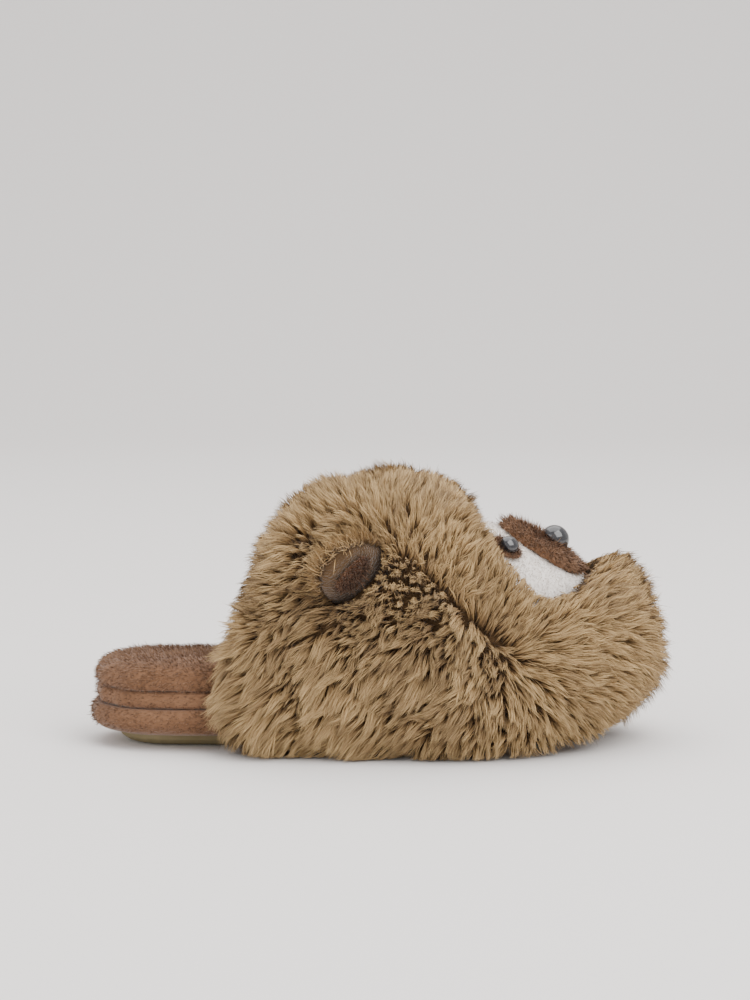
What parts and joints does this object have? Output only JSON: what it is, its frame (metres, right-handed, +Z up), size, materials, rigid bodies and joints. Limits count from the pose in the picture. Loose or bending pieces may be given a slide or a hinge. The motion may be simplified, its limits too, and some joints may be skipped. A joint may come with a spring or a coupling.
{
  "type": "animal slipper",
  "caption": "Right-foot mule slipper with a thick plush footbed and a hollow long-fur vamp shaped as a sloth-like animal's head with ears, face pad, eyes and nose.",
  "frame": {"origin": "on the outsole's flat underside, halfway along the sole and on its axis", "axes": "+X towards the toe, +Y towards the wearer's left (inner side of this right shoe), +Z up"},
  "size_m": [0.2917, 0.15, 0.1377],
  "materials": {
    "outsole": "matt moulded foam rubber, olive beige",
    "plush": "short brown plush",
    "fur": "long golden tan faux fur",
    "face": "short off-white plush",
    "lining": "dark brown short plush",
    "gloss": "glossy black moulded plastic"
  },
  "bodies": {
    "root": {"outsole": "outsole", "lower_midsole": "plush", "middle_band": "plush", "footbed": "plush", "upper": "fur", "face_panel": "face", "muzzle": "plush", "nose": "gloss", "eye_patch_right": "plush", "eye_patch_left": "plush", "eye_right": "gloss", "eye_left": "gloss", "ear_right": "fur", "ear_left": "fur", "ear_lining_right": "lining", "ear_lining_left": "lining"}
  },
  "joints": []
}
